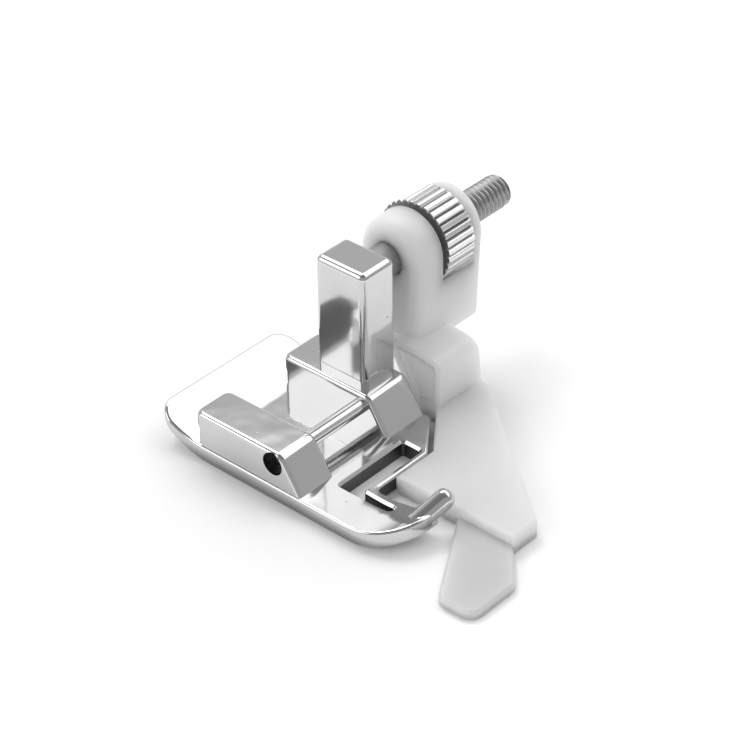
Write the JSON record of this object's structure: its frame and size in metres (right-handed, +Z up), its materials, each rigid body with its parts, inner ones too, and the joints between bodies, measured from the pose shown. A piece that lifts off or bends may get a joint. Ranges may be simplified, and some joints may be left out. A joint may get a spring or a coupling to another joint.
{
  "type": "sewing machine presser foot",
  "caption": "Clip-on blind hem presser foot: bright cast sole with ears, cross pin and post, and a milky plastic edge guide that a knurled nut moves along a threaded stud.",
  "frame": {"origin": "on the sole's underside, straight below the middle of the snap pin between the ears", "axes": "+X to the operator's right along the snap pin and the stud, -Y forwards to the toe, +Z up"},
  "size_m": [0.0442, 0.0467, 0.0227],
  "materials": {
    "casting": "bright plated, with soft casting ripples",
    "pin": "ground and polished",
    "stud": "machined thread, satin",
    "nut": "bright, straight knurl",
    "guide": "milky, slightly translucent, semi-gloss"
  },
  "bodies": {
    "foot": {"foot_casting": "casting", "snap_pin": "pin", "adjusting_stud": "stud"},
    "guide": {"hem_guide": "guide"},
    "nut": {"adjusting_nut": "nut"}
  },
  "joints": [
    {"name": "guide_slide", "type": "slide", "parent": "foot", "child": "guide", "axis": [1, 0, 0], "range_m": [0, 0.007]},
    {"name": "nut_spin", "type": "hinge", "parent": "guide", "child": "nut", "pos_m": [0.0202, 0.0039, 0.0176], "axis": [1, 0, 0], "range_deg": [-5, 3605]}
  ],
  "couplings": [
    {"joint": "nut_spin", "follows": "guide_slide", "rad_per_m": 8976}
  ]
}
